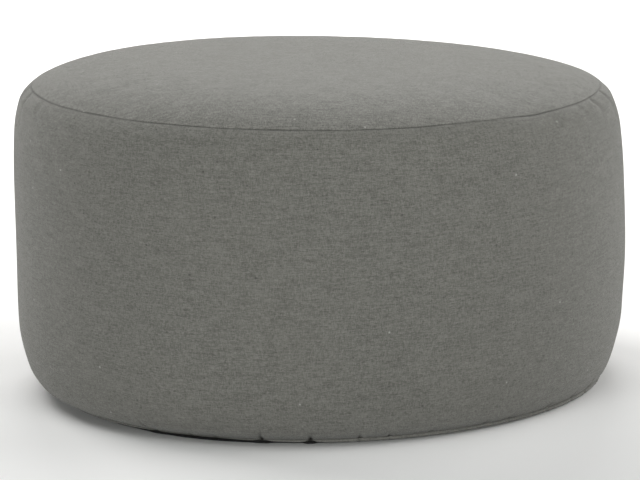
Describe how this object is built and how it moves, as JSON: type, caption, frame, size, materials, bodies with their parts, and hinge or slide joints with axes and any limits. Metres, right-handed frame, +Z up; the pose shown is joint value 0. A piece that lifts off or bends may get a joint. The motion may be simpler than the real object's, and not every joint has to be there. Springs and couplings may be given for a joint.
{
  "type": "round outdoor ottoman",
  "caption": "Round, low, filled outdoor ottoman with a crowned top panel, a tall side band drawn in at the foot, and a flat black base cloth.",
  "frame": {"origin": "on the floor, under the middle of the ottoman, on the base cloth's underside", "axes": "+Z up; the front, as the picture shows it, is at -Y, and +X is to its right"},
  "size_m": [0.7503, 0.7496, 0.4035],
  "materials": {
    "top_cloth": "matt grey-taupe melange outdoor cloth in a plain weave with fine slubs",
    "band_cloth": "the same matt grey-taupe melange outdoor cloth, its slubs running around the band",
    "base_cloth": "matt black base cloth"
  },
  "bodies": {
    "root": {"top_panel": "top_cloth", "side_band": "band_cloth", "base_panel": "base_cloth"}
  },
  "joints": []
}
